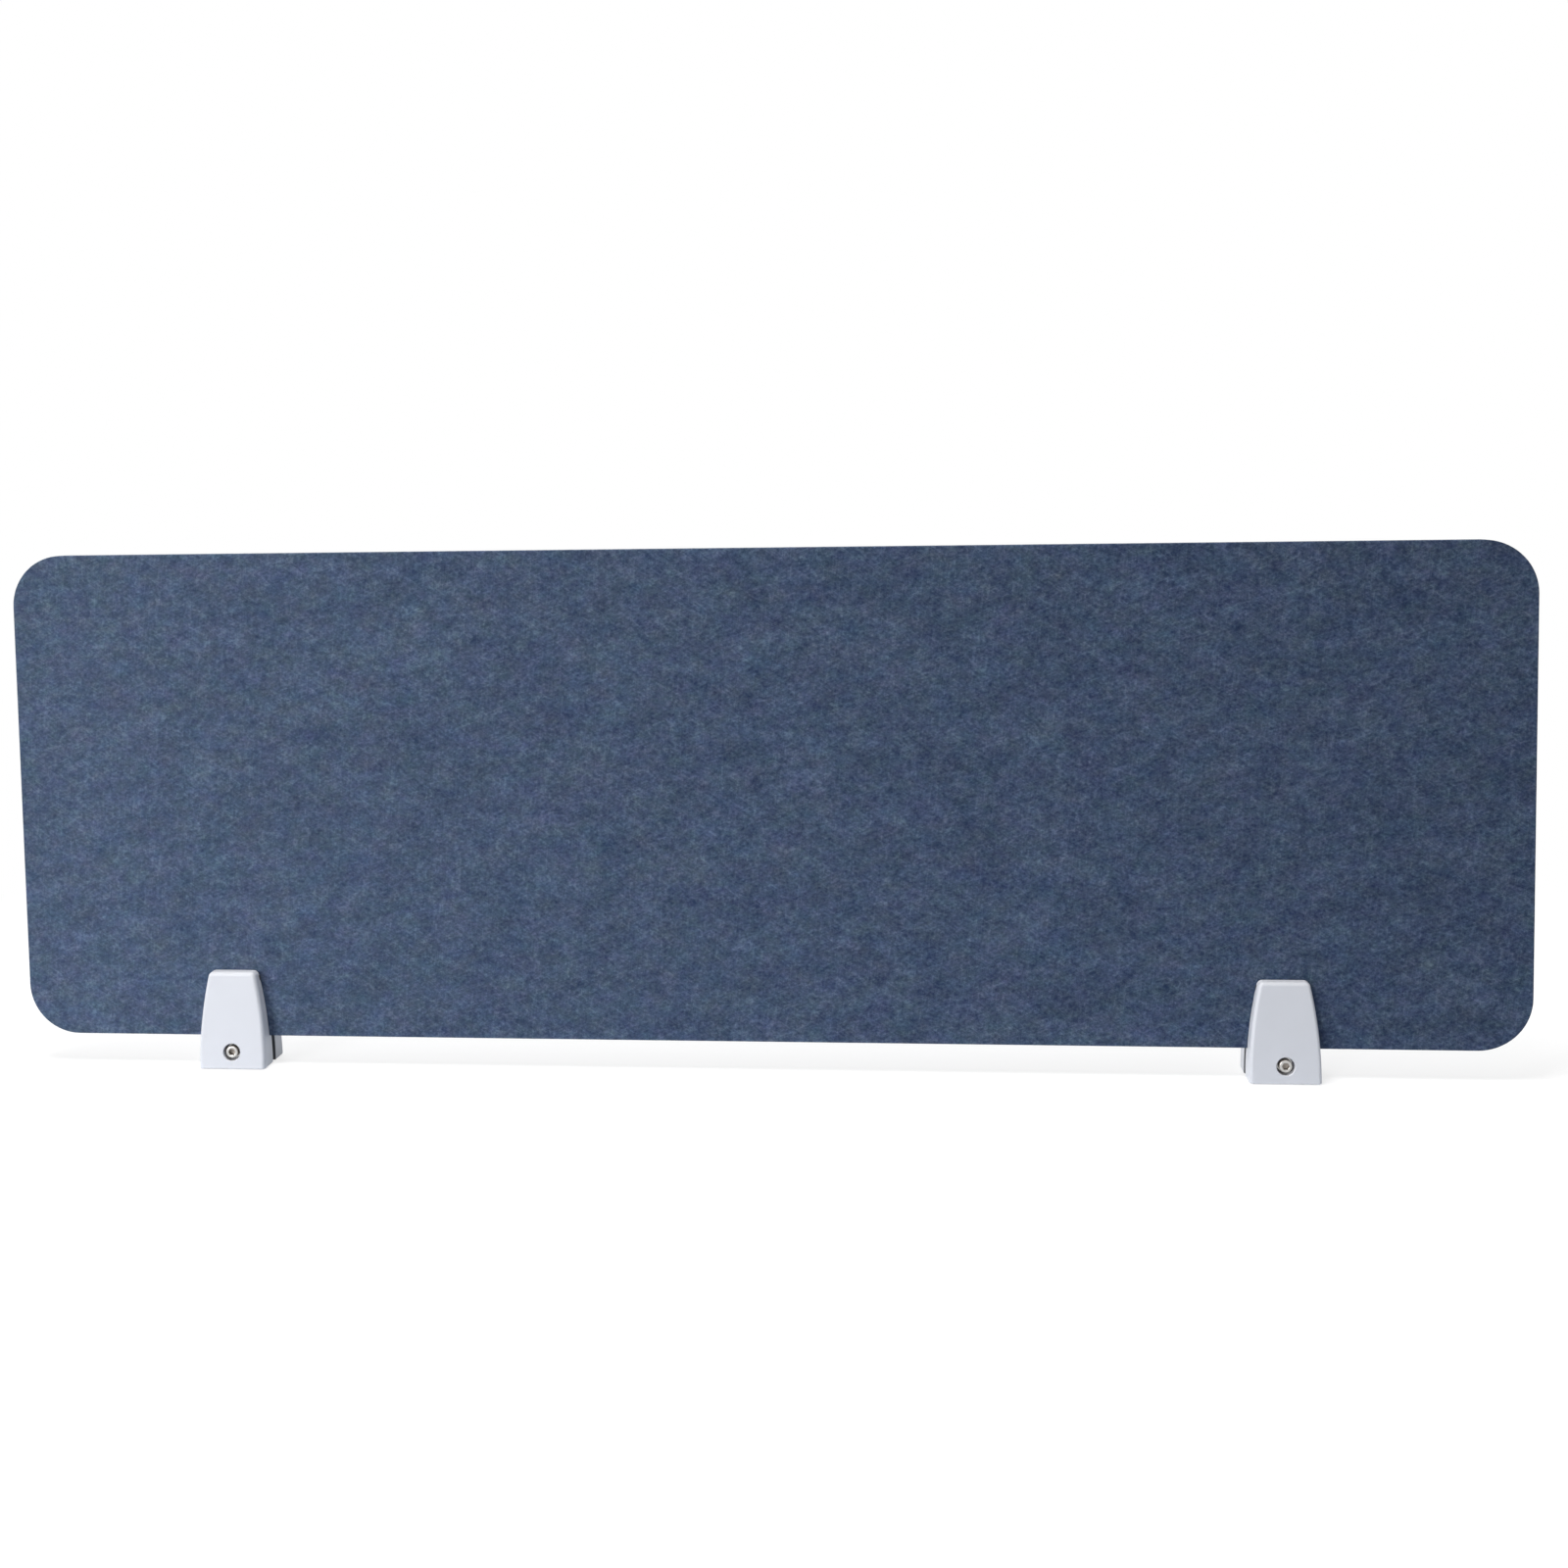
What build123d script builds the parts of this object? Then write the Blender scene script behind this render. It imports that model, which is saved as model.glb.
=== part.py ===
from build123d import *
import os

# Acoustic divider screen: a felt board held on edge by two screw clamps that stand on a desk.
# Millimetres. X runs along the board, the screw heads face -Y, +Z is up.
# Origin: on the desk, under the middle of the board's length and thickness.

# Felt board
panel_width = 1220.0
panel_height = 400.0
panel_thickness = 12.0
panel_corner_radius = 42.0
panel_edge_radius = 0.8

# Clamps' middles, in from the board's ends
left_clamp_inset = 178.4
right_clamp_inset = 191.7

# Clamp castings
jaw_height = 79.0
jaw_base_width = 55.8
jaw_top_width = 38.8
jaw_side_bulge = 2.3
jaw_base_reach = 13.4
jaw_top_reach = 8.2
jaw_top_corner_radius = 4.5
jaw_front_edge_radius = 3.0
jaw_foot_edge_radius = 0.8
ledge_height = 23.5
split_gap = 5.6

# Grip pads between the castings and the board
grip_pad_thickness = 1.5
grip_pad_stand = 0.5
grip_pad_margin = 3.5
grip_pad_corner_radius = 2.5

# Foot pads under the castings
foot_pad_thickness = 1.5
foot_pad_stand = 0.5
foot_pad_margin = 1.8
foot_pad_corner_radius = 2.0

# All pads lie in shallow seats, this much wider all round
pad_seat_clearance = 0.1

# Screw, washer and nut, all of the M6 size
screw_axis_height = 13.7
thread_radius = 3.0
head_radius = 5.0
head_height = 6.0
head_edge_chamfer = 0.5
head_sink = 0.4
socket_across_flats = 5.0
socket_depth = 3.0
screw_tip_chamfer = 0.6
screw_tip_overhang = 2.4
screw_hole_radius = 3.3
counterbore_radius = 7.1
counterbore_mouth_chamfer = 0.4
washer_radius = 6.0
washer_hole_radius = 3.2
washer_thickness = 1.6
nut_across_flats = 10.0
nut_thickness = 5.0
nut_corner_chamfer = 0.6
nut_seat_wall = 7.7
nut_pocket_clearance = 0.1
thread_clearance = 0.05

# Guide pins, pressed into the rear casting and sliding in the front one
guide_pin_radius = 2.0
guide_pin_wall = 3.3
guide_pin_seat_depth = 10.4
guide_pin_reach = 8.0
guide_pin_end_room = 3.0
guide_pin_clearance = 0.08
guide_pin_end_chamfer = 0.4

# Tapped holes in the rear casting's foot, for screws that come up through a desk top
desk_hole_radius = 2.1
desk_hole_inset = 7.9
desk_hole_end_wall = 1.2
desk_hole_pad_radius = 3.25

# One overrun that serves all cuts
overrun = 2.0

# Levels, counted up from the desk
casting_foot = foot_pad_stand
casting_top = casting_foot + jaw_height
ledge_top = casting_foot + ledge_height
screw_height = casting_foot + screw_axis_height

desk_hole_top = screw_height - guide_pin_radius - desk_hole_end_wall

# Places along the board, the clamps' from its middle and the others' from a clamp's middle
left_clamp_place = left_clamp_inset - panel_width / 2
right_clamp_place = panel_width / 2 - right_clamp_inset
guide_pin_place = counterbore_radius + guide_pin_wall + guide_pin_clearance + guide_pin_radius
desk_hole_place = jaw_base_width / 2 - desk_hole_inset

# Depths, counted from the board's middle plane towards the outside of a clamp
panel_face = panel_thickness / 2
split_face = split_gap / 2
inner_face = panel_face + grip_pad_stand
base_face = panel_face + jaw_base_reach
top_face = panel_face + jaw_top_reach
boss_face = base_face + (top_face - base_face) * screw_axis_height / jaw_height
washer_seat = boss_face - head_sink - head_height - washer_thickness
head_seat = washer_seat + washer_thickness
nut_seat = split_face + nut_seat_wall
block_middle = (split_face + base_face) / 2


def half_width(level):
    """Half of the casting's width at a level, on the chord of its bowed side."""
    share = (level - casting_foot) / jaw_height
    return (jaw_base_width + (jaw_top_width - jaw_base_width) * share) / 2


def front_plane(depth, level=0, place=0):
    """A drawing plane that faces the front: its x is X and its y is Z."""
    return Plane(origin=(place, -depth, level), x_dir=(1, 0, 0), z_dir=(0, -1, 0))


def front_bar(outline, near, far, level=0, place=0):
    """A bar of any outline that runs towards the front from one depth to another."""
    return extrude(front_plane(near, level, place) * outline, amount=far - near)


def hexagon(across_flats):
    """A six-sided outline with two corners level with its middle."""
    return RegularPolygon(across_flats / 2, side_count=6, major_radius=False)


def casting_outline():
    """The casting seen from the front: a tall trapezoid with slightly bowed sides."""
    base, top = half_width(casting_foot), half_width(casting_top)
    middle = (casting_foot + casting_top) / 2
    bowed = half_width(middle) + jaw_side_bulge
    edges = [
        Line((-base, casting_foot), (base, casting_foot)),
        ThreePointArc((base, casting_foot), (bowed, middle), (top, casting_top)),
        Line((top, casting_top), (-top, casting_top)),
        ThreePointArc((-top, casting_top), (-bowed, middle), (-base, casting_foot)),
    ]
    face = make_face(Wire(edges))
    return fillet(face.vertices().group_by(Axis.Y)[-1], jaw_top_corner_radius)


def casting_depth():
    """The casting seen from the side: a foot block, a ledge under the board, a leaning jaw."""
    profile = Polyline(
        (-split_face, casting_foot),
        (-base_face, casting_foot),
        (-top_face, casting_top),
        (-inner_face, casting_top),
        (-inner_face, ledge_top),
        (-split_face, ledge_top),
        close=True,
    )
    return extrude(Plane.YZ * make_face(profile), amount=jaw_base_width, both=True)


def grip_pad_outline(grow=0.0):
    """The grip pad, or its seat, seen from the front: it follows the casting's sides."""
    low = ledge_top + grip_pad_margin - grow
    high = casting_top - grip_pad_margin + grow
    low_half = half_width(low) - grip_pad_margin + grow
    high_half = half_width(high) - grip_pad_margin + grow
    corners = [(-low_half, low), (low_half, low), (high_half, high), (-high_half, high)]
    face = make_face(Polyline(*corners, close=True))
    return fillet(face.vertices(), grip_pad_corner_radius)


def foot_pad_outline(grow=0.0):
    """The foot pad, or its seat, seen from above."""
    width = 2 * (half_width(casting_foot) - foot_pad_margin + grow)
    depth = base_face - split_face - 2 * (foot_pad_margin - grow)
    return Pos(0, -block_middle) * RectangleRounded(width, depth, foot_pad_corner_radius)


def casting():
    """A clamp half with the seats of its two pads, as it stands in front of the board."""
    body = front_bar(casting_outline(), split_face, base_face) & casting_depth()
    front = body.faces().sort_by(Axis.Y)[0]
    foot = front.edges().group_by(Axis.Z)[0]
    body = fillet([edge for edge in front.edges() if edge not in foot], jaw_front_edge_radius)
    under = body.faces().sort_by(Axis.Z)[0]
    back = under.edges().group_by(Axis.Y)[-1]
    body = fillet([edge for edge in under.edges() if edge not in back], jaw_foot_edge_radius)
    grip_seat = front_bar(
        grip_pad_outline(pad_seat_clearance), panel_face, panel_face + grip_pad_thickness
    )
    foot_seat = extrude(foot_pad_outline(pad_seat_clearance), amount=foot_pad_thickness)
    return body - grip_seat - foot_seat


def front_jaw():
    """The half that faces the user: counterbore, screw hole and blind holes for the pins."""
    body = casting()
    body -= front_bar(Circle(counterbore_radius), washer_seat, base_face + overrun, screw_height)
    mouth = body.edges().filter_by(lambda edge: edge.geom_type == GeomType.ELLIPSE)
    body = chamfer(mouth, counterbore_mouth_chamfer)
    body -= front_bar(
        Circle(screw_hole_radius), split_face - overrun, washer_seat + overrun, screw_height
    )
    pin_hole = Circle(guide_pin_radius + guide_pin_clearance)
    pin_hole_end = split_face + guide_pin_reach + guide_pin_end_room
    for side in (-1, 1):
        body -= front_bar(
            pin_hole, split_face - overrun, pin_hole_end, screw_height, side * guide_pin_place
        )
    return body


def rear_jaw():
    """The half behind the board: nut pocket, screw hole, pin seats and tapped desk holes."""
    body = casting()
    nut_pocket = hexagon(nut_across_flats + 2 * nut_pocket_clearance)
    body -= front_bar(nut_pocket, nut_seat, base_face + overrun, screw_height)
    body -= front_bar(
        Circle(screw_hole_radius), split_face - overrun, nut_seat + overrun, screw_height
    )
    pin_seat_end = split_face + guide_pin_seat_depth
    for side in (-1, 1):
        body -= front_bar(
            Circle(guide_pin_radius),
            split_face - overrun,
            pin_seat_end,
            screw_height,
            side * guide_pin_place,
        )
        desk_hole = Pos(side * desk_hole_place, -block_middle) * Circle(desk_hole_radius)
        body -= extrude(desk_hole, amount=desk_hole_top)
    return mirror(body, about=Plane.XZ)


def grip_pad():
    """A pad that fills its seat and stands out of it as far as the board's face."""
    return front_bar(grip_pad_outline(), panel_face, panel_face + grip_pad_thickness)


def foot_pad():
    """A pad that fills its seat and stands out of it down to the desk."""
    return extrude(foot_pad_outline(), amount=foot_pad_thickness)


def rear_foot_pad():
    """The pad under the rear casting, with a hole for each desk screw."""
    pad = foot_pad()
    for side in (-1, 1):
        hole = Pos(side * desk_hole_place, -block_middle) * Circle(desk_hole_pad_radius)
        pad -= extrude(hole, amount=foot_pad_thickness)
    return mirror(pad, about=Plane.XZ)


def clamp_screw():
    """A socket head cap screw whose head faces the front and sinks just below the casting."""
    head = front_bar(Circle(head_radius), head_seat, head_seat + head_height, screw_height)
    head = chamfer(head.edges().group_by(Axis.Y)[0], head_edge_chamfer)
    tip = nut_seat + nut_thickness + screw_tip_overhang
    shank = front_bar(Circle(thread_radius), -tip, head_seat, screw_height)
    shank = chamfer(shank.edges().group_by(Axis.Y)[-1], screw_tip_chamfer)
    socket_floor = head_seat + head_height - socket_depth
    socket = front_bar(
        hexagon(socket_across_flats), socket_floor, base_face + overrun, screw_height
    )
    return head + shank - socket


def screw_washer():
    """A flat ring between the screw's head and the floor of the counterbore."""
    ring = Circle(washer_radius) - Circle(washer_hole_radius)
    return front_bar(ring, washer_seat, head_seat, screw_height)


def hex_nut():
    """A nut in the rear casting's pocket, its corners turned down on both faces."""
    far = nut_seat + nut_thickness
    nut = front_bar(hexagon(nut_across_flats), nut_seat, far, screw_height)
    corner_radius = hexagon(nut_across_flats).vertices().sort_by(Axis.X)[-1].X
    turned = front_bar(Circle(corner_radius), nut_seat, far, screw_height)
    nut &= chamfer(turned.edges(), nut_corner_chamfer)
    nut -= front_bar(Circle(thread_radius + thread_clearance), nut_seat, far, screw_height)
    return mirror(nut, about=Plane.XZ)


def guide_pin(side):
    """A dowel from its seat in the rear casting to its hole in the front one."""
    pin = front_bar(
        Circle(guide_pin_radius),
        -(split_face + guide_pin_seat_depth),
        split_face + guide_pin_reach,
        screw_height,
        side * guide_pin_place,
    )
    return chamfer(pin.edges().filter_by(GeomType.CIRCLE), guide_pin_end_chamfer)


def felt_panel():
    """The board, with rounded corners and slightly softened cut edges."""
    outline = RectangleRounded(panel_width, panel_height, panel_corner_radius)
    board = front_bar(outline, -panel_face, panel_face, ledge_top + panel_height / 2)
    rims = board.faces().filter_by(Axis.Y).edges()
    return fillet(rims, panel_edge_radius)


def clamp(outward):
    """All the pieces of one clamp about its own middle; outward is the side of the board's end."""
    return {
        "front_jaw": front_jaw(),
        "rear_jaw": rear_jaw(),
        "front_grip_pad": grip_pad(),
        "rear_grip_pad": mirror(grip_pad(), about=Plane.XZ),
        "front_foot_pad": foot_pad(),
        "rear_foot_pad": rear_foot_pad(),
        "clamp_screw": clamp_screw(),
        "screw_washer": screw_washer(),
        "hex_nut": hex_nut(),
        "outer_guide_pin": guide_pin(outward),
        "inner_guide_pin": guide_pin(-outward),
    }


def main():
    """Writes every piece in its place, one file for each."""
    os.makedirs("parts", exist_ok=True)
    export_step(felt_panel(), "parts/felt_panel.step")
    for name, place, outward in (("left", left_clamp_place, -1), ("right", right_clamp_place, 1)):
        for piece, shape in clamp(outward).items():
            export_step(Pos(place, 0, 0) * shape, f"parts/{name}_{piece}.step")


main()
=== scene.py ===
import math

import bpy
from bpy.props import FloatProperty, FloatVectorProperty, IntProperty, PointerProperty
from mathutils import Matrix, Vector, noise


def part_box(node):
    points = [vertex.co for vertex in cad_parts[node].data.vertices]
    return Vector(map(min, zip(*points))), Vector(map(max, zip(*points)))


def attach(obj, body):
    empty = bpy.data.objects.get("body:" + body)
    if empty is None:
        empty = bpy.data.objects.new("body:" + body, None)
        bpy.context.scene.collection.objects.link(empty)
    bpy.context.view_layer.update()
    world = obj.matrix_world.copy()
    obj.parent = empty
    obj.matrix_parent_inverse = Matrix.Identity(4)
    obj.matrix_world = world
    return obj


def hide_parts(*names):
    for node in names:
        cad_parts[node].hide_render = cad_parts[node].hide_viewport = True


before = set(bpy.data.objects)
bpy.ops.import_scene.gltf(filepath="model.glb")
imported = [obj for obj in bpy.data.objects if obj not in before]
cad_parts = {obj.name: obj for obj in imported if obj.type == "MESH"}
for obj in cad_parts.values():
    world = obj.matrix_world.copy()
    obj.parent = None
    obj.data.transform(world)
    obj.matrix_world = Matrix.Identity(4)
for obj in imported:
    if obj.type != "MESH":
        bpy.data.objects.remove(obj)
for startup_thing in ("Cube", "Light", "Camera"):
    if startup_thing in bpy.data.objects:
        bpy.data.objects.remove(bpy.data.objects[startup_thing])
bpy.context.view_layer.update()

bl_info = {
    "name": "Acoustic Divider Screen",
    "version": (1, 0, 0),
    "blender": (4, 5, 0),
    "location": "3D View > Sidebar > Divider",
    "description": "Dresses a felt desk divider and its two screw clamps",
    "category": "Object",
}

MM = 0.001
SIDES = ("left", "right")
HALVES = ("front", "rear")
FULL_TURN = 2 * math.pi
QUARTER_TURN = math.pi / 2
WHITE = (1, 1, 1, 1)
BOARD_LOW, BOARD_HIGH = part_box("felt_panel")
SLOT_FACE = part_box("left_rear_jaw")[0].y  # from the board's middle to the faces inside the slot
SLOT_MARGIN = 0.05 * MM  # how far past that face still counts as inside the slot
SCREW_CREST = 3 * MM  # radius of the screw at the thread's crest
THREAD_GAP = 0.05 * MM  # clearance between the screw's thread and the nut's
KNURL_DEPTH = 0.14 * MM
NIBBLE_DEPTH = 0.12 * MM
SENSOR_WIDTH = 36  # of the camera, in mm


# Sizes and colours that a user may change


class FeltBoardSettings(bpy.types.PropertyGroup):
    colour: FloatVectorProperty(
        name="Felt colour", description="Mean colour of the heather", subtype="COLOR",
        size=3, min=0, max=1, default=(0.0525, 0.0775, 0.1305))
    corner: FloatProperty(
        name="Corner radius", description="Radius of the board's four corners",
        subtype="DISTANCE", unit="LENGTH", default=42 * MM)
    edge: FloatProperty(
        name="Edge radius", description="Softness of the cut edge, front and back",
        subtype="DISTANCE", unit="LENGTH", default=1.1 * MM)
    spacing: FloatProperty(
        name="Mesh spacing", description="Distance between the points of the felt's faces",
        subtype="DISTANCE", unit="LENGTH", default=3.8 * MM)
    relief: FloatProperty(
        name="Relief", description="Depth of the hollows in the pressed faces",
        subtype="DISTANCE", unit="LENGTH", default=0.22 * MM)
    mottle: FloatProperty(
        name="Mottle", description="Strength of the heather's light and dark spots",
        subtype="FACTOR", min=0, max=1, default=1.0)
    # Painted shade: the felt darkens along the board's length, standing in for the lamps' falloff
    painted_falloff: FloatProperty(
        name="Painted falloff", description="How much the dye deepens in each metre of the board's length",
        default=0.23)


class ClampSettings(bpy.types.PropertyGroup):
    coat: FloatVectorProperty(
        name="Powder coat", description="Colour of the coated jaws", subtype="COLOR",
        size=3, min=0, max=1, default=(0.62, 0.626, 0.657))
    coat_roughness: FloatProperty(
        name="Coat roughness", description="Mean roughness of the powder coat",
        subtype="FACTOR", min=0, max=1, default=0.42)
    # Painted shadow: darkens the coat on the faces inside the slot between the jaws, where shade
    # falls
    painted_slot_shade: FloatProperty(
        name="Slot shade", subtype="FACTOR", min=0, max=1, default=0.2,
        description="Brightness of the bare faces in the slot, as a share of the coat's")
    rubber: FloatVectorProperty(
        name="Rubber", description="Colour of the grip and foot pads", subtype="COLOR",
        size=3, min=0, max=1, default=(0.03, 0.031, 0.034))
    rib_pitch: FloatProperty(
        name="Rib pitch", description="Distance between the ribs of a grip pad",
        subtype="DISTANCE", unit="LENGTH", default=1.6 * MM)
    rib_depth: FloatProperty(
        name="Rib depth", description="Depth of the grooves between the ribs",
        subtype="DISTANCE", unit="LENGTH", default=0.4 * MM)


class HardwareSettings(bpy.types.PropertyGroup):
    steel: FloatVectorProperty(
        name="Steel", description="Colour of the plated fasteners", subtype="COLOR",
        size=3, min=0, max=1, default=(0.52, 0.515, 0.5))
    pitch: FloatProperty(
        name="Thread pitch", description="Advance of the screw in one turn",
        subtype="DISTANCE", unit="LENGTH", default=1 * MM)
    thread_depth: FloatProperty(
        name="Thread depth", description="Height of the thread from root to crest",
        subtype="DISTANCE", unit="LENGTH", default=0.55 * MM)
    socket_width: FloatProperty(
        name="Socket width", description="Hexagon socket, across its flats",
        subtype="DISTANCE", unit="LENGTH", default=5 * MM)
    socket_depth: FloatProperty(
        name="Socket depth", description="Depth of the hexagon socket",
        subtype="DISTANCE", unit="LENGTH", default=3 * MM)
    ridges: IntProperty(
        name="Knurl ridges", description="Ridges round the screw's head",
        min=12, max=72, default=36)


class StudioSettings(bpy.types.PropertyGroup):
    camera_place: FloatVectorProperty(
        name="Camera place", description="Where the camera stands", subtype="TRANSLATION",
        unit="LENGTH", size=3, default=(0.13715, -1.22091, 0.46452))
    camera_turn: FloatVectorProperty(
        name="Camera turn", description="Yaw, pitch and roll of the camera", subtype="EULER",
        unit="ROTATION", size=3, default=(0.07555, -0.05958, 0.01395))
    lens: FloatProperty(
        name="Lens", description="Focal length", unit="CAMERA", default=35.343)
    shift: FloatVectorProperty(
        name="Shift", description="Lens shift that gives the photograph's framing",
        size=2, default=(-0.01287, -0.12508))
    key_power: FloatProperty(
        name="Key lamp", description="Power of the soft lamp on the left", unit="POWER",
        default=12.5)
    top_power: FloatProperty(
        name="Top lamp", description="Power of the soft lamp above", unit="POWER",
        default=82)
    far_power: FloatProperty(
        name="Far lamp", description="Power of the wide lamp far in front", unit="POWER",
        default=370)
    back_power: FloatProperty(
        name="Back lamp", description="Power of the soft lamp behind the board", unit="POWER",
        default=60)
    sky: FloatProperty(
        name="Sky", description="Mean strength of the light from all round", default=0.28)
    backdrop: FloatProperty(
        name="Backdrop", description="How much more of that light comes from behind the board",
        subtype="FACTOR", min=0, max=1, default=0.85)


# Shader maths written as Python expressions


class Wire:
    """A shader socket that can be used in arithmetic."""

    def __init__(self, paint, socket):
        self.paint = paint
        self.socket = socket

    def __add__(self, other):
        return self.paint.calc("ADD", self, other)

    def __sub__(self, other):
        return self.paint.calc("SUBTRACT", self, other)

    def __rsub__(self, other):
        return self.paint.calc("SUBTRACT", other, self)

    def __mul__(self, other):
        return self.paint.calc("MULTIPLY", self, other)

    def __gt__(self, other):
        return self.paint.calc("GREATER_THAN", self, other)

    def __lt__(self, other):
        return self.paint.calc("LESS_THAN", self, other)

    __radd__ = __add__
    __rmul__ = __mul__


class Paint:
    """The shader nodes of a material or a world."""

    def __init__(self, owner):
        owner.use_nodes = True
        self.owner = owner
        self.tree = owner.node_tree
        self.tree.nodes.clear()

    def node(self, kind, settings=None, inputs=None, out=0):
        """Adds a node: its kind, its settings, its inputs and the output that is used."""
        node = self.tree.nodes.new(kind)
        for key, value in (settings or {}).items():
            if key == "stops":
                self.set_stops(node.color_ramp, value)
            else:
                setattr(node, key, value)
        for key, value in (inputs or {}).items():
            if isinstance(value, Wire):
                self.tree.links.new(value.socket, node.inputs[key])
            else:
                node.inputs[key].default_value = value
        return Wire(self, node.outputs[out]) if node.outputs else None

    @staticmethod
    def set_stops(ramp, stops):
        """Sets a ramp's two stops, each a place and a shade of grey."""
        for element, (place, shade) in zip(ramp.elements, stops, strict=True):
            element.position = place
            element.color = (shade, shade, shade, 1)

    def calc(self, operation, *values):
        return self.node("ShaderNodeMath", {"operation": operation}, dict(enumerate(values)))

    def vector(self, operation, *values, out=0):
        return self.node("ShaderNodeVectorMath", {"operation": operation},
                         dict(enumerate(values)), out)

    def place(self):
        """The point on the piece, in metres."""
        return self.node("ShaderNodeTexCoord", out="Object")

    def place_in_mm(self):
        return self.scaled(self.place(), 1 / MM)

    def coordinate(self, place, axis):
        return self.node("ShaderNodeSeparateXYZ", None, {0: place}, out=axis)

    def turned(self, place, angle):
        """The place turned about Y, in the plane of the board's faces."""
        return self.node("ShaderNodeMapping", {"vector_type": "POINT"},
                         {"Vector": place, "Rotation": (0, angle, 0)})

    def stretched(self, place, stretch):
        """The place stretched, then tumbled, so that no face lies along a noise's own grid."""
        tumble = (0.6, 0.9, 0.4)
        return self.node("ShaderNodeMapping", {"vector_type": "POINT"},
                         {"Vector": place, "Rotation": tumble, "Scale": stretch})

    def speckle(self, place, per_mm, detail, roughness, distortion=0.0, out=0):
        """Noise from 0 to 1 with about so many spots in a millimetre."""
        return self.node(
            "ShaderNodeTexNoise", {"noise_dimensions": "3D"},
            {"Vector": place, "Scale": per_mm, "Detail": detail, "Roughness": roughness,
             "Distortion": distortion}, out)

    def ramp(self, value, *stops):
        return self.node("ShaderNodeValToRGB", {"stops": stops}, {"Fac": value})

    def mix(self, factor, first, second):
        """A blend of two colours, which are the Mix node's inputs 6 and 7."""
        return self.node("ShaderNodeMix", {"data_type": "RGBA"},
                         {0: factor, 6: opaque(first), 7: opaque(second)}, out=2)

    def scaled(self, value, factor):
        return self.node("ShaderNodeVectorMath", {"operation": "SCALE"},
                         {0: value, "Scale": factor})

    def bump(self, height, distance, strength):
        return self.node("ShaderNodeBump", None,
                         {"Height": height, "Distance": distance, "Strength": strength})

    def glow(self, strength):
        return self.node("ShaderNodeEmission", None, {"Color": WHITE, "Strength": strength})

    def surface(self, **inputs):
        """Ends a material with the main shader; an underscore stands for a space in a name."""
        named = {key.replace("_", " "): value for key, value in inputs.items()}
        shader = self.node("ShaderNodeBsdfPrincipled", None, named)
        return self.finish(shader)

    def finish(self, shader):
        self.node("ShaderNodeOutputMaterial", None, {"Surface": shader})
        return self.owner


def opaque(colour):
    return colour if isinstance(colour, Wire) else (*tuple(colour)[:3], 1)


def new_material(name):
    return Paint(bpy.data.materials.new(name))


# Materials


def heather_felt(colour, mottle, painted_falloff):
    """Needled polyester felt: mixed fibres, cloudy patches, pale flecks, and painted shade that
    deepens along the board.
    """
    paint = new_material("heather_felt")
    place = paint.place_in_mm()
    # Spots from single fibres up to clouds, all a little longer along the board
    lying = paint.stretched(place, (0.8, 1, 1))
    fuzz = paint.speckle(lying, 1.5, 1.0, 0.6)
    grain = paint.speckle(lying, 0.47, 1.0, 0.6)
    lumps = paint.speckle(lying, 0.2, 1.0, 0.6)
    patches = paint.speckle(lying, 0.085, 1.0, 0.6)
    clouds = paint.speckle(paint.stretched(place, (0.45, 1, 1)), 0.042, 2.0, 0.6)
    # Long fibres that lie in three directions
    layers = []
    for angle in (0.35, 1.45, 2.5):
        along = paint.stretched(paint.turned(place, angle), (0.09, 1, 1))
        fibres = paint.speckle(along, 0.8, 1.0, 0.5, 0.3)
        layers.append(paint.ramp(fibres, (0.54, 0), (0.7, 1)))
    strands = layers[0] + layers[1] + layers[2]
    # Pale flecks, one in each cell
    slanted = paint.stretched(paint.turned(place, 0.5), (0.5, 1, 1))
    flecks = paint.node("ShaderNodeTexVoronoi", {"feature": "F1"},
                        {"Vector": slanted, "Scale": 0.11})
    pale = paint.ramp(flecks, (0.08, 1), (0.2, 0))
    # Light and dark: each size of spot with its share, about a mean of zero
    mottling = mottle * ((grain - 0.5) * 1.5 + (fuzz - 0.5) * 0.72 + (lumps - 0.5) * 1.05
                         + (patches - 0.5) * 0.66 + (clouds - 0.5) * 0.66
                         + (strands - 0.45) * 0.2)
    # Painted shade: darker towards +X along the board, standing in for the falloff of the lamps on
    # the left
    across = paint.coordinate(place, "X")
    mottling = mottling + mottling * mottling * 0.4 - 0.02 - across * (painted_falloff * MM)
    plain_white = Vector((1, 1, 1))
    shade = paint.vector("MULTIPLY_ADD", mottling, (1.14, 1.0, 0.76), plain_white)
    # Colour that wanders between fibres of unlike dye
    spread = Vector((0.55, 0.37, 0.55))
    tints = paint.speckle(paint.stretched(place, (0.68, 1, 1)), 0.06, 3.0, 0.8, out="Color")
    dye = paint.vector("MULTIPLY_ADD", tints, spread, plain_white - spread / 2)
    base = paint.vector("MULTIPLY", dye, colour)
    lilac = Vector(colour) * 1.6 + Vector((0.02, 0.01, 0.01))
    shaded = paint.vector("MULTIPLY", base, shade)
    felt = paint.mix(pale * 0.3, shaded, lilac)
    height = grain * 0.5 + fuzz * 0.5 + strands * 0.5
    return paint.surface(
        Base_Color=felt, Roughness=0.96, Normal=paint.bump(height, 0.3 * MM, 0.6),
        Sheen_Weight=0.12, Sheen_Roughness=0.5, Specular_IOR_Level=0.2)


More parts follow.
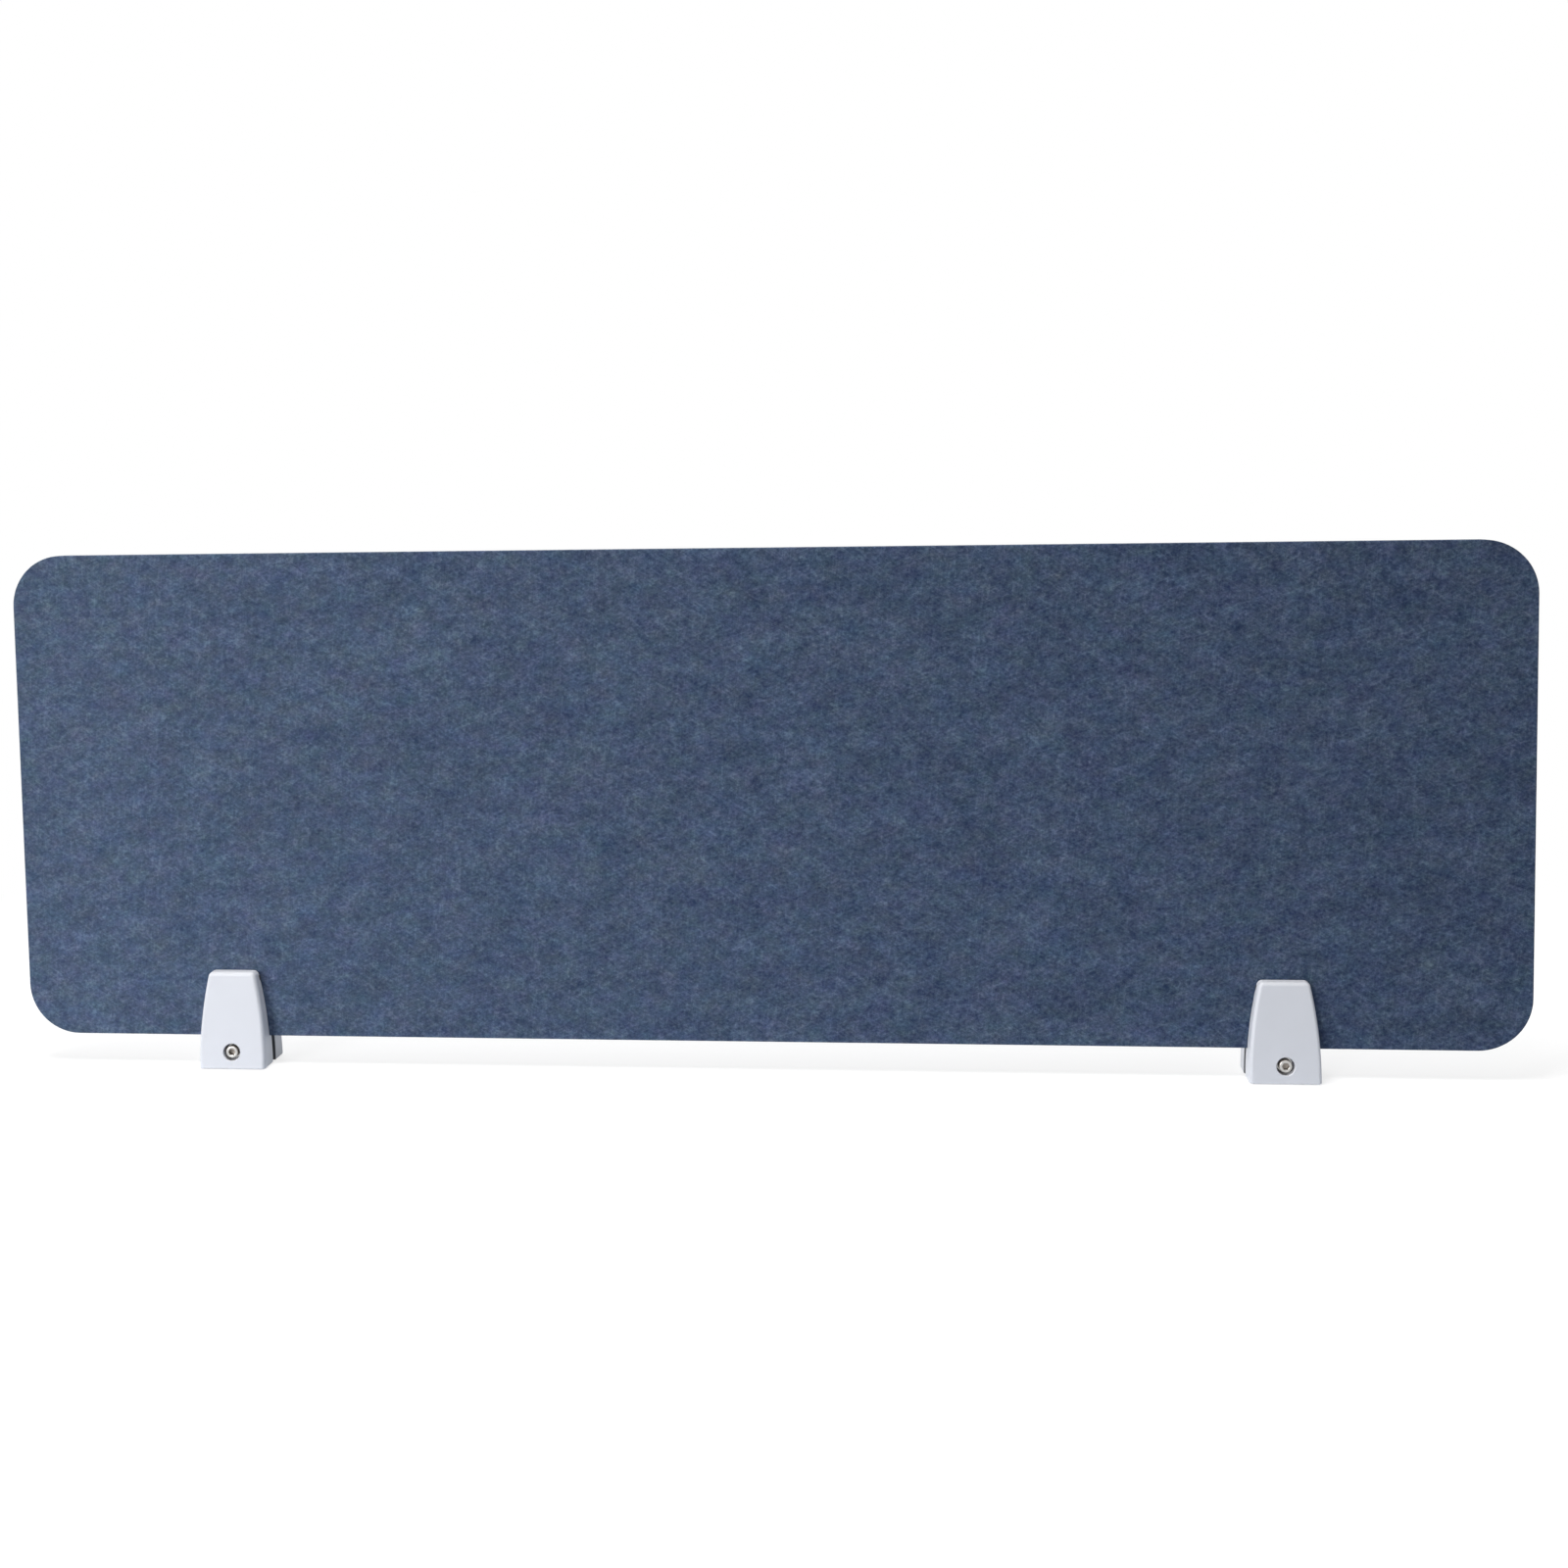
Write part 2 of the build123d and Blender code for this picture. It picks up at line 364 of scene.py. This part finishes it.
def powder_coat(colour, roughness, painted_slot_shade):
    """Matte light-grey powder coat with a fine orange peel, with painted shadow on the faces in the
    slot.
    """
    paint = new_material("powder_coat")
    place = paint.place_in_mm()
    peel = paint.speckle(place, 0.9, 2.0, 0.5)
    cloud = paint.speckle(place, 0.06, 2.0, 0.5)
    depth = paint.coordinate(place, "Y")
    # Painted shadow: the faces in the slot between the jaws are darkened, standing in for the shade
    # there
    slot_shadow_mask = paint.calc("ABSOLUTE", depth) < (SLOT_FACE + SLOT_MARGIN) / MM
    shade = 1 + (cloud - 0.5) * 0.05 + (peel - 0.5) * 0.02
    return paint.surface(
        Base_Color=paint.scaled(paint.mix(slot_shadow_mask, colour, Vector(colour) * painted_slot_shade), shade),
        Roughness=roughness + (peel - 0.5) * 0.12,
        Normal=paint.bump(peel, 0.03 * MM, 0.5), Specular_IOR_Level=0.45)


def plated_steel(colour, socket):
    """Zinc-plated steel with faint turning marks, darker and browner inside the hexagon socket."""
    paint = new_material("plated_steel")
    place = paint.place_in_mm()
    marks = paint.speckle(paint.stretched(place, (0.4, 6, 0.4)), 1.4, 2.0, 0.6)
    stain = paint.speckle(place, 0.5, 2.0, 0.6)
    mouth, end = socket
    depth = paint.coordinate(place, "Y") - mouth / MM
    inside = (depth > 0.2) * (depth < (end - mouth) / MM + 1.5)
    dull = paint.ramp(stain, (0.45, 0), (0.75, 1))
    clean = paint.scaled(paint.mix(dull, colour, Vector(colour) * 0.72), 0.93 + marks * 0.12)
    base = paint.mix(inside * 0.65, clean, (0.2, 0.16, 0.13))
    return paint.surface(
        Base_Color=base, Metallic=1.0, Roughness=0.26 + stain * 0.16 + inside * 0.2,
        Normal=paint.bump(marks, 0.02 * MM, 0.4))


def black_rubber(colour):
    """Matte rubber with a fine moulded grain and a little dust."""
    paint = new_material("black_rubber")
    place = paint.place_in_mm()
    grain = paint.speckle(place, 2.6, 2.0, 0.6)
    dust = paint.speckle(place, 0.3, 3.0, 0.6)
    dusty = Vector(colour) + Vector((0.05, 0.05, 0.05))
    base = paint.mix(paint.ramp(dust, (0.45, 0), (0.8, 1)) * 0.35, colour, dusty)
    return paint.surface(
        Base_Color=base, Roughness=0.72 + grain * 0.2, Normal=paint.bump(grain, 0.06 * MM, 0.5))


# Mesh pieces


def add_piece(name, points, faces, material, sharp_angle=35):
    """Adds a smooth-shaded piece, with sharp edges where its faces meet at more than the angle."""
    mesh = bpy.data.meshes.new(name)
    mesh.from_pydata(points, [], faces)
    mesh.materials.append(material)
    mesh.polygons.foreach_set("use_smooth", [True] * len(mesh.polygons))
    mesh.set_sharp_from_angle(angle=math.radians(sharp_angle))
    mesh.validate()
    piece = bpy.data.objects.new(name, mesh)
    bpy.context.scene.collection.objects.link(piece)
    return piece


def slab_rows(low, high, corner, edge, spacing):
    """Heights and half lengths of a rounded rectangle, with each row end's outward direction."""
    inner = corner - edge
    half = (high.x - low.x) / 2 - edge
    bottom, top = low.z + edge, high.z - edge
    steps = max(6, round(inner * QUARTER_TURN / spacing))
    arc = [step / steps * QUARTER_TURN for step in range(steps + 1)]
    rows = [(bottom + inner * (1 - math.cos(a)), half - inner + inner * math.sin(a),
             (math.sin(a), -math.cos(a))) for a in arc]
    straight = top - bottom - 2 * inner
    count = max(2, round(straight / spacing))
    rows += [(bottom + inner + straight * k / count, half, (1, 0)) for k in range(1, count)]
    rows += [(top - inner * (1 - math.cos(a)), half - inner + inner * math.sin(a),
              (math.sin(a), math.cos(a))) for a in reversed(arc)]
    return rows


def slab(low, high, corner, edge, spacing, across, front_relief, back_relief, rim_relief):
    """A closed rounded-rectangle plate, thick along Y, with relief pressed into its faces.

    The points lie at about the spacing along Z and at the distance across along X.
    """
    rows = slab_rows(low, high, corner, edge, spacing)
    columns = max(4, round((high.x - low.x) / across))
    middle = (low.x + high.x) / 2
    points, faces = [], []
    for back in (False, True):
        for z, half, _ in rows:
            for column in range(columns + 1):
                x = middle + half * (2 * column / columns - 1)
                if back:
                    points.append((x, high.y - back_relief(x, z), z))
                else:
                    points.append((x, low.y + front_relief(x, z), z))
    wide = columns + 1
    layer = wide * len(rows)
    for row in range(len(rows) - 1):
        for column in range(columns):
            a = row * wide + column
            faces.append((a, a + 1, a + wide + 1, a + wide))
            faces.append((layer + a, layer + a + wide, layer + a + wide + 1, layer + a + 1))
    last = len(rows) - 1
    loop = [(column, (0, -1)) for column in range(columns + 1)]
    loop += [(row * wide + columns, rows[row][2]) for row in range(1, last)]
    loop += [(last * wide + column, (0, 1)) for column in range(columns, -1, -1)]
    loop += [(row * wide, (-rows[row][2][0], rows[row][2][1])) for row in range(last - 1, 0, -1)]
    # The rim: a quarter round, a straight part and another quarter round, from front to back
    bend = [QUARTER_TURN / 4 * step for step in (1, 2, 3, 4)]
    straight = high.y - low.y - 2 * edge
    parts = 5
    profile = [(edge * math.sin(t), low.y + edge * (1 - math.cos(t))) for t in bend]
    profile += [(edge, low.y + edge + straight * k / parts) for k in range(1, parts)]
    profile += [(edge * math.sin(t), high.y - edge * (1 - math.cos(t))) for t in reversed(bend)]
    rings = [[index for index, _ in loop]]
    for out, y in profile:
        ring = []
        for index, (nx, nz) in loop:
            x, _, z = points[index]
            inset = rim_relief(x, y, z) * out / edge
            ring.append(len(points))
            points.append((x + nx * (out - inset), y, z + nz * (out - inset)))
        rings.append(ring)
    rings.append([layer + index for index, _ in loop])
    for near, far in zip(rings, rings[1:]):
        for k in range(len(loop)):
            n = (k + 1) % len(loop)
            faces.append((near[k], far[k], far[n], near[n]))
    return points, faces


def turned_body(centre, sections, around):
    """A body turned about a line along Y, from sections of y and a radius for each angle.

    The first and last radius may be None, which closes the body at that y.
    """
    points, faces, rings = [], [], []
    for y, radius in sections:
        if radius is None:
            rings.append([len(points)])
            points.append((centre.x, y, centre.z))
            continue
        ring = []
        for k in range(around):
            angle = FULL_TURN * k / around
            r = radius(angle, y)
            ring.append(len(points))
            points.append((centre.x + r * math.cos(angle), y, centre.z + r * math.sin(angle)))
        rings.append(ring)
    for near, far in zip(rings, rings[1:]):
        for k in range(around):
            n = (k + 1) % around
            if len(near) == 1:
                faces.append((near[0], far[k], far[n]))
            elif len(far) == 1:
                faces.append((near[k], far[0], near[n]))
            else:
                faces.append((near[k], far[k], far[n], near[n]))
    return points, faces


def plain(radius):
    """A round section."""
    return lambda angle, y: radius


def hexagon(width, limit=None):
    """A hexagon section with a corner at angle zero, cut to a circle where there is a limit."""
    def radius(angle, y):
        turn = angle % (math.pi / 3) - math.pi / 6
        reach = width / 2 / math.cos(turn)
        return reach if limit is None else min(reach, limit)
    return radius


def thread(mean, depth, pitch):
    """A section of a right-hand thread, the same one for the screw and the nut, so that they fit."""
    def radius(angle, y):
        return mean + depth / 2 * math.cos(FULL_TURN * y / pitch - angle)
    return radius


def threaded_rows(start, end, radius, pitch):
    """Sections of a thread, eight or so in each turn."""
    count = round((end - start) / (pitch / 8))
    return [(start + (end - start) * k / count, radius) for k in range(count + 1)]


def middle_of(node):
    low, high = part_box(node)
    return (low + high) / 2


def finish_node(name, material):
    """Gives a CAD piece its material and leaves its shape alone."""
    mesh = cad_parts[name].data
    for index in range(len(mesh.materials)):
        mesh.materials[index] = material


# Operators


class DIVIDER_OT_felt_board(bpy.types.Operator):
    """Builds the pressed felt board with its softened, slightly uneven cut edge"""
    bl_idname = "divider.felt_board"
    bl_label = "Felt Board"

    def execute(self, context):
        felt = context.scene.divider_felt

        def hollows(seed):
            """Hollows of three lengths, each with its share of the depth."""
            def depth(x, z):
                total = 0
                for length, share in ((160 * MM, 0.4), (34 * MM, 0.3), (9 * MM, 0.3)):
                    spot = Vector((x / length, seed, z / length))
                    total += share * (0.5 + 0.5 * noise.noise(spot))
                return felt.relief * total
            return depth

        def nibbles(x, y, z):
            along, through = 4 * MM, 1.3 * MM
            spot = Vector((x / along, y / through, z / along))
            return NIBBLE_DEPTH * (0.5 + 0.5 * noise.noise(spot))

        points, faces = slab(
            BOARD_LOW, BOARD_HIGH, felt.corner, felt.edge, felt.spacing, felt.spacing,
            front_relief=hollows(0.3), back_relief=hollows(7.9), rim_relief=nibbles)
        material = heather_felt(felt.colour, felt.mottle, felt.painted_falloff)
        board = add_piece("felt_board", points, faces, material, sharp_angle=60)
        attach(board, "board")
        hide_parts("felt_panel")
        return {"FINISHED"}


class DIVIDER_OT_jaws(bpy.types.Operator):
    """Gives the cast jaws their powder coat"""
    bl_idname = "divider.jaws"
    bl_label = "Clamp Jaws"

    def execute(self, context):
        clamp = context.scene.divider_clamp
        coat = powder_coat(clamp.coat, clamp.coat_roughness, clamp.painted_slot_shade)
        for side in SIDES:
            for half in HALVES:
                finish_node(f"{side}_{half}_jaw", coat)
        return {"FINISHED"}


class DIVIDER_OT_pads(bpy.types.Operator):
    """Builds the ribbed grip pads and finishes the foot pads"""
    bl_idname = "divider.pads"
    bl_label = "Rubber Pads"

    def execute(self, context):
        clamp = context.scene.divider_clamp
        rubber = black_rubber(clamp.rubber)

        def ribs(x, z):
            wave = 0.5 - 0.5 * math.cos(FULL_TURN * x / clamp.rib_pitch)
            return clamp.rib_depth * wave ** 2

        def flat(*_):
            return 0

        for side in SIDES:
            for half in HALVES:
                node = f"{side}_{half}_grip_pad"
                low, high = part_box(node)
                front, back = (flat, ribs) if half == "front" else (ribs, flat)
                points, faces = slab(
                    low, high, corner=2.5 * MM, edge=0.3 * MM, spacing=2 * MM, across=0.2 * MM,
                    front_relief=front, back_relief=back, rim_relief=flat)
                pad = add_piece(f"{side}_{half}_ribbed_pad", points, faces, rubber, sharp_angle=40)
                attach(pad, f"{side}_clamp_{half}")
                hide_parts(node)
                finish_node(f"{side}_{half}_foot_pad", rubber)
        return {"FINISHED"}


class DIVIDER_OT_hardware(bpy.types.Operator):
    """Builds the threaded screws and nuts and finishes the washers and pins"""
    bl_idname = "divider.hardware"
    bl_label = "Screws and Nuts"

    def execute(self, context):
        made = context.scene.divider_hardware
        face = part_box("left_clamp_screw")[0].y
        steel = plated_steel(made.steel, (face, face + made.socket_depth))
        for side in SIDES:
            screw = self.screw(made, side, steel)
            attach(screw, f"{side}_screw")
            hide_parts(f"{side}_clamp_screw")
            nut = self.nut(made, side, steel)
            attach(nut, f"{side}_clamp_rear")
            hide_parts(f"{side}_hex_nut")
            for piece in ("screw_washer", "outer_guide_pin", "inner_guide_pin"):
                finish_node(f"{side}_{piece}", steel)
        return {"FINISHED"}

    @staticmethod
    def screw(made, side, steel):
        node = f"{side}_clamp_screw"
        low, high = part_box(node)
        head = (high.x - low.x) / 2
        face, tip = low.y, high.y
        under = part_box(f"{side}_screw_washer")[0].y
        socket_end = face + made.socket_depth
        socket_corner = made.socket_width / math.sqrt(3)
        socket = hexagon(made.socket_width)
        drill_radius, drill_point = 2.2 * MM, 0.9 * MM
        lead, bevel, fillet = 0.3 * MM, 0.3 * MM, 0.2 * MM
        rim, fade = 0.8 * MM, 0.15 * MM
        crown = ((0, 0.65), (0.12, 0.4), (0.5, 0))  # depth and inset of the head's front edge, in mm
        shank_end, thread_start = under + 1.6 * MM, under + 2.2 * MM
        tip_length, tip_inset = 0.7 * MM, 0.75 * MM

        def knurled(angle, y):
            return head - KNURL_DEPTH * math.sin(angle * made.ridges / 2) ** 2

        rolled = thread(SCREW_CREST - made.thread_depth / 2, made.thread_depth, made.pitch)
        sections = [
            (socket_end + drill_point, None),
            (socket_end, plain(drill_radius)),
            (socket_end, socket),
            (face + lead, socket),
            (face, plain(socket_corner + lead / 2)),
        ]
        sections += [(face + deep * MM, plain(head - inset * MM)) for deep, inset in crown]
        sections += [
            (face + rim, plain(head)),
            (face + rim + fade, knurled),
            (under - rim - fade, knurled),
            (under - rim, plain(head)),
            (under - bevel, plain(head)),
            (under, plain(head - bevel)),
            (under, plain(SCREW_CREST + fillet)),
            (under + fillet, plain(SCREW_CREST)),
            (shank_end, plain(SCREW_CREST)),
        ]
        sections += threaded_rows(thread_start, tip - tip_length, rolled, made.pitch)
        sections += [(tip, plain(SCREW_CREST - tip_inset)), (tip, None)]
        points, faces = turned_body(middle_of(node), sections, around=144)
        return add_piece(f"{side}_socket_screw", points, faces, steel, sharp_angle=40)

    @staticmethod
    def nut(made, side, steel):
        node = f"{side}_hex_nut"
        low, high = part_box(node)
        front, back = low.y, high.y
        width = high.z - low.z
        crest = SCREW_CREST + THREAD_GAP
        bevel, thread_lead, around = 0.45 * MM, 0.6 * MM, 72
        rolled = thread(crest - made.thread_depth / 2, made.thread_depth, made.pitch)
        side_face = hexagon(width)
        end_face = hexagon(width, limit=width / 2 * 0.98)
        mouth = plain(crest + 0.25 * MM)
        sections = [
            (front, mouth),
            (front, end_face),
            (front + bevel, side_face),
            (back - bevel, side_face),
            (back, end_face),
            (back, mouth),
        ]
        rows = threaded_rows(front + thread_lead, back - thread_lead, rolled, made.pitch)
        sections += reversed(rows)
        points, faces = turned_body(middle_of(node), sections, around)
        # The last ring joins the first, because the nut is open right through
        last = (len(sections) - 1) * around
        for k in range(around):
            n = (k + 1) % around
            faces.append((last + k, k, n, last + n))
        return add_piece(f"{side}_threaded_nut", points, faces, steel)


class DIVIDER_OT_studio(bpy.types.Operator):
    """Sets up the white floor, the soft lamps and the camera"""
    bl_idname = "divider.studio"
    bl_label = "Studio"

    def execute(self, context):
        studio = context.scene.divider_studio
        self.floor()
        self.sky(context.scene, studio.sky, studio.backdrop)
        self.lamp("key_lamp", (-1.6, -1.35, 0.3), (-0.1, 0, 0.15), 0.6, studio.key_power)
        self.lamp("top_lamp", (-0.5, -0.45, 3.2), (-0.1, 0, 0.05), 1.2, studio.top_power)
        self.lamp("far_lamp", (-5, -8, 2.5), (0, 0, 0.15), 3, studio.far_power)
        self.lamp("back_lamp", (-2.2, 3.2, 1.6), (0, 0, 0.15), 1.6, studio.back_power)
        self.camera(context.scene, studio)
        return {"FINISHED"}

    @staticmethod
    def floor():
        """A floor that holds the shadow near the screen and fades to plain white farther off."""
        half, drop = 6.0, 0.2 * MM
        corners = ((-half, -half), (half, -half), (half, half), (-half, half))
        points = [(x, y, -drop) for x, y in corners]
        paint = new_material("pale_floor")
        oval = paint.vector("MULTIPLY", paint.place(), (0.8, 1.1, 1))
        distance = paint.vector("LENGTH", oval, out="Value")
        rays = seen_white(paint)
        bounce = paint.mix(paint.ramp(distance, (0.45, 0), (1.0, 1)),
                           (0.6, 0.66, 0.75), (0.34, 0.36, 0.4))
        matte = paint.node("ShaderNodeBsdfDiffuse", None,
                           {"Color": paint.mix(rays, bounce, (0.32, 0.32, 0.32))})
        near = paint.node("ShaderNodeAddShader", None, {0: matte, 1: paint.glow(rays * 0.74)})
        far = paint.glow(1.0)
        fade = paint.ramp(distance, (0.55, 0), (0.95, 1)) * rays
        shader = paint.node("ShaderNodeMixShader", None, {0: fade, 1: near, 2: far})
        floor = add_piece("pale_floor", points, [(0, 1, 2, 3)], paint.finish(shader))

    @staticmethod
    def sky(scene, strength, backdrop):
        """A white world that lights things more from behind the board than from the front."""
        scene.world = bpy.data.worlds.new("white_studio")
        paint = Paint(scene.world)
        rays = seen_white(paint)
        way = paint.node("ShaderNodeTexCoord", out="Generated")
        light = strength * (1 + paint.coordinate(way, "Y") * backdrop)
        level = light + rays * (1 - light)
        white = paint.node("ShaderNodeBackground", None, {"Color": WHITE, "Strength": level})
        paint.node("ShaderNodeOutputWorld", None, {"Surface": white})

    @staticmethod
    def lamp(name, place, target, size, power):
        light = bpy.data.lights.new(name, "AREA")
        light.shape, light.size, light.energy = "DISK", size, power
        lamp = bpy.data.objects.new(name, light)
        lamp.location = place
        lamp.visible_camera = False
        lamp.rotation_euler = (Vector(target) - Vector(place)).to_track_quat("-Z", "Y").to_euler()
        bpy.context.scene.collection.objects.link(lamp)

    @staticmethod
    def camera(scene, studio):
        data = bpy.data.cameras.new("photograph_view")
        data.lens, data.sensor_width = studio.lens, SENSOR_WIDTH
        data.shift_x, data.shift_y = studio.shift
        data.clip_start, data.clip_end = 0.02, 50
        camera = bpy.data.objects.new("photograph_view", data)
        yaw, pitch, roll = studio.camera_turn
        turn = (Matrix.Rotation(yaw, 4, "Z") @ Matrix.Rotation(pitch, 4, "X")
                @ Matrix.Rotation(roll, 4, "Y") @ Matrix.Rotation(QUARTER_TURN, 4, "X"))
        camera.matrix_world = Matrix.Translation(studio.camera_place) @ turn
        scene.collection.objects.link(camera)
        scene.camera = camera
        scene.view_settings.view_transform = "Standard"


def seen_white(paint):
    """1 for rays that should see the background as white, 0 for the rays that light things."""
    camera, glossy, through = [
        paint.node("ShaderNodeLightPath", out=kind)
        for kind in ("Is Camera Ray", "Is Glossy Ray", "Is Transmission Ray")]
    return paint.calc("MAXIMUM", paint.calc("MAXIMUM", camera, glossy), through)


class DIVIDER_PT_panel(bpy.types.Panel):
    """Lists the pieces of the divider"""
    bl_idname = "DIVIDER_PT_panel"
    bl_label = "Acoustic Divider"
    bl_space_type = "VIEW_3D"
    bl_region_type = "UI"
    bl_category = "Divider"

    def draw(self, context):
        for group, settings in SETTINGS.items():
            box = self.layout.box()
            for name in settings.__annotations__:
                box.prop(getattr(context.scene, group), name)
        for operator in OPERATORS:
            self.layout.operator(operator.bl_idname)


SETTINGS = {
    "divider_felt": FeltBoardSettings,
    "divider_clamp": ClampSettings,
    "divider_hardware": HardwareSettings,
    "divider_studio": StudioSettings,
}
OPERATORS = (
    DIVIDER_OT_felt_board,
    DIVIDER_OT_jaws,
    DIVIDER_OT_pads,
    DIVIDER_OT_hardware,
    DIVIDER_OT_studio,
)


def register():
    for group in (*SETTINGS.values(), *OPERATORS, DIVIDER_PT_panel):
        bpy.utils.register_class(group)
    for name, group in SETTINGS.items():
        setattr(bpy.types.Scene, name, PointerProperty(type=group))


def unregister():
    for name in SETTINGS:
        delattr(bpy.types.Scene, name)
    for group in reversed((*SETTINGS.values(), *OPERATORS, DIVIDER_PT_panel)):
        bpy.utils.unregister_class(group)


def main():
    register()
    bpy.ops.divider.felt_board()
    bpy.ops.divider.jaws()
    bpy.ops.divider.pads()
    bpy.ops.divider.hardware()
    bpy.ops.divider.studio()


if __name__ == "__main__":
    main()
